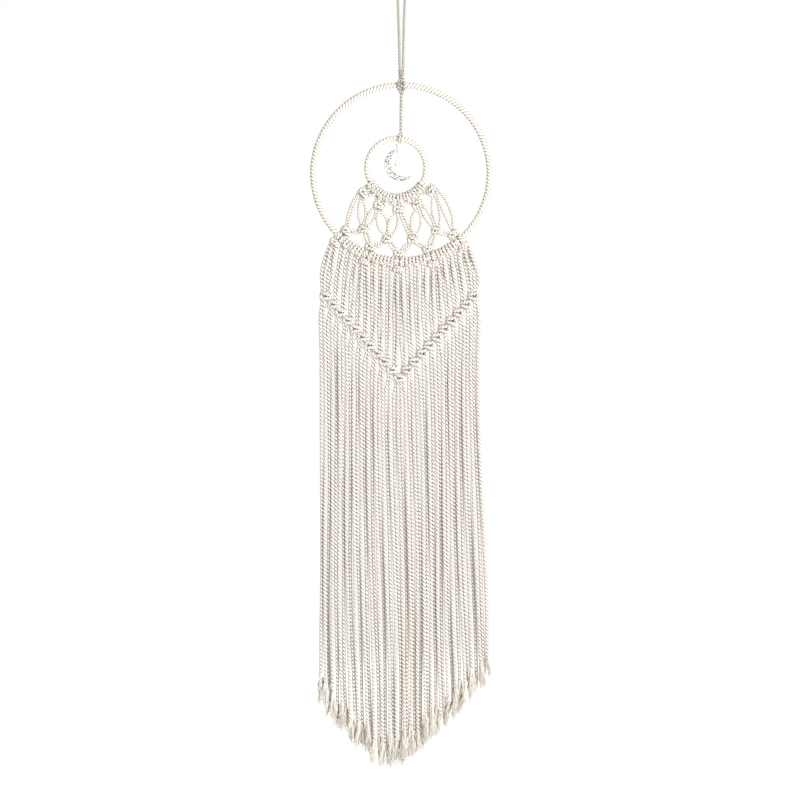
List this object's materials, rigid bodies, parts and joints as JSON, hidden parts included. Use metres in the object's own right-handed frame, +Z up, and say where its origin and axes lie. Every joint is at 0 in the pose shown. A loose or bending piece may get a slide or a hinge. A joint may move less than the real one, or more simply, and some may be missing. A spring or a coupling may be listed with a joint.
{
  "type": "dream catcher",
  "caption": "Wall-hung macrame dream catcher: a cord-wound hoop with a smaller hoop and crescent charm inside, a knotted net, and a long V-knotted cord fringe.",
  "frame": {"origin": "where the nail bears on the underside of the hanging loop's eye, at the top of the piece", "axes": "+Z up along the hanging loop, +X to the viewer's right, +Y into the wall"},
  "size_m": [0.2102, 0.0112, 0.9201],
  "materials": {
    "cotton_cord": "twisted three-ply natural cotton, matt",
    "cotton_wrap": "natural cotton cord wound tightly, matt",
    "hoop_wire": "plain wire, satin",
    "antique_silver": "antique silver, darkened in the recesses",
    "clear_glass": "clear polished glass"
  },
  "bodies": {
    "hanging_loop": {"hanging_loop": "cotton_cord"},
    "gathering_knot": {"gathering_knot": "cotton_cord"},
    "hoop_hitch": {"hoop_hitch": "cotton_cord"},
    "outer_hoop": {"outer_hoop_wire": "hoop_wire", "outer_hoop_wrap": "cotton_wrap", "drop_cord_tie": "cotton_cord", "lark_heads_outer_left": "cotton_cord", "lark_heads_inner_left": "cotton_cord", "lark_heads_inner_right": "cotton_cord", "lark_heads_outer_right": "cotton_cord", "hoop_knot_far_left": "cotton_cord", "hoop_knot_left": "cotton_cord", "hoop_knot_centre": "cotton_cord", "hoop_knot_right": "cotton_cord", "hoop_knot_far_right": "cotton_cord"},
    "net": {"net_knots_upper": "cotton_cord", "net_knots_lower": "cotton_cord", "net_cords_middle": "cotton_cord", "net_cords_bottom": "cotton_cord", "net_cords_sides": "cotton_cord"},
    "inner_hoop": {"inner_hoop_wire": "hoop_wire", "inner_hoop_wrap": "cotton_wrap", "inner_lark_heads": "cotton_cord", "drop_cord_knot": "cotton_cord", "charm_thread": "cotton_cord"},
    "drop_cord": {"drop_cord": "cotton_cord"},
    "upper_ring": {"upper_jump_ring": "antique_silver"},
    "lower_ring": {"lower_jump_ring": "antique_silver"},
    "moon": {"crescent_moon": "antique_silver"},
    "bead": {"bead_pin": "antique_silver", "glass_bead": "clear_glass"},
    "curtain": {"curtain_far_left": "cotton_cord", "curtain_outer_left": "cotton_cord", "curtain_left": "cotton_cord", "curtain_inner_left": "cotton_cord", "curtain_centre": "cotton_cord", "curtain_inner_right": "cotton_cord", "curtain_right": "cotton_cord", "curtain_outer_right": "cotton_cord", "curtain_far_right": "cotton_cord", "v_knots_left": "cotton_cord", "v_knot_centre": "cotton_cord", "v_knots_right": "cotton_cord"},
    "fringe_left_outer": {"fringe_left_outer": "cotton_cord"},
    "fringe_left_middle": {"fringe_left_middle": "cotton_cord"},
    "fringe_left_inner": {"fringe_left_inner": "cotton_cord"},
    "fringe_centre": {"fringe_centre": "cotton_cord"},
    "fringe_right_inner": {"fringe_right_inner": "cotton_cord"},
    "fringe_right_middle": {"fringe_right_middle": "cotton_cord"},
    "fringe_right_outer": {"fringe_right_outer": "cotton_cord"}
  },
  "joints": [
    {"name": "hanger_turn", "type": "hinge", "parent": "hanging_loop", "child": "gathering_knot", "pos_m": [0, 0, -0.1048], "axis": [0, 0, 1], "range_deg": [-180, 180]},
    {"name": "hanger_swing", "type": "hinge", "parent": "gathering_knot", "child": "hoop_hitch", "pos_m": [0, 0, -0.1221], "axis": [0, 1, 0], "range_deg": [-15, 15]},
    {"name": "hoop_tilt", "type": "hinge", "parent": "hoop_hitch", "child": "outer_hoop", "pos_m": [0, 0, -0.1285], "axis": [1, 0, 0], "range_deg": [-25, 25]},
    {"name": "net_sway", "type": "hinge", "parent": "outer_hoop", "child": "net", "pos_m": [0, 0, -0.3315], "axis": [1, 0, 0], "range_deg": [-10, 10], "stiffness_Nm_per_rad": 0.1},
    {"name": "inner_hoop_level", "type": "hinge", "parent": "net", "child": "inner_hoop", "pos_m": [-0.0056, 0, -0.2577], "axis": [1, 0, 0], "range_deg": [-10.5, 10.5]},
    {"name": "drop_cord_lean", "type": "hinge", "parent": "inner_hoop", "child": "drop_cord", "pos_m": [-0.001, 0, -0.19001], "axis": [1, 0, 0], "range_deg": [-12.5, 12.5]},
    {"name": "charm_turn", "type": "hinge", "parent": "inner_hoop", "child": "upper_ring", "pos_m": [-0.0051, 0, -0.19744], "axis": [0, 0, 1], "range_deg": [-40, 40]},
    {"name": "link_tilt", "type": "hinge", "parent": "upper_ring", "child": "lower_ring", "pos_m": [-0.0051, 0, -0.20064], "axis": [1, 0, 0], "range_deg": [-30, 30]},
    {"name": "moon_swing", "type": "hinge", "parent": "lower_ring", "child": "moon", "pos_m": [-0.0051, 0, -0.20282], "axis": [0, 1, 0], "range_deg": [-18, 18]},
    {"name": "bead_swing", "type": "hinge", "parent": "moon", "child": "bead", "pos_m": [-0.0051, 0, -0.2046], "axis": [1, 0, 0], "range_deg": [-30, 30]},
    {"name": "curtain_sway", "type": "hinge", "parent": "outer_hoop", "child": "curtain", "pos_m": [0, 0, -0.3315], "axis": [1, 0, 0], "range_deg": [-25, 25]},
    {"name": "fringe_left_outer_sway", "type": "hinge", "parent": "curtain", "child": "fringe_left_outer", "pos_m": [-0.07411, 0, -0.3863], "axis": [1, 0, 0], "range_deg": [-20, 20]},
    {"name": "fringe_left_middle_sway", "type": "hinge", "parent": "curtain", "child": "fringe_left_middle", "pos_m": [-0.04873, 0, -0.4145], "axis": [1, 0, 0], "range_deg": [-20, 20]},
    {"name": "fringe_left_inner_sway", "type": "hinge", "parent": "curtain", "child": "fringe_left_inner", "pos_m": [-0.01912, 0, -0.4474], "axis": [1, 0, 0], "range_deg": [-20, 20]},
    {"name": "fringe_centre_sway", "type": "hinge", "parent": "curtain", "child": "fringe_centre", "pos_m": [-0.0022, 0, -0.4709], "axis": [1, 0, 0], "range_deg": [-20, 20]},
    {"name": "fringe_right_inner_sway", "type": "hinge", "parent": "curtain", "child": "fringe_right_inner", "pos_m": [0.01472, 0, -0.4474], "axis": [1, 0, 0], "range_deg": [-20, 20]},
    {"name": "fringe_right_middle_sway", "type": "hinge", "parent": "curtain", "child": "fringe_right_middle", "pos_m": [0.04433, 0, -0.4145], "axis": [1, 0, 0], "range_deg": [-20, 20]},
    {"name": "fringe_right_outer_sway", "type": "hinge", "parent": "curtain", "child": "fringe_right_outer", "pos_m": [0.06971, 0, -0.3863], "axis": [1, 0, 0], "range_deg": [-20, 20]}
  ],
  "couplings": [
    {"joint": "inner_hoop_level", "follows": "net_sway", "ratio": -1},
    {"joint": "drop_cord_lean", "follows": "net_sway", "ratio": -1.1998}
  ]
}
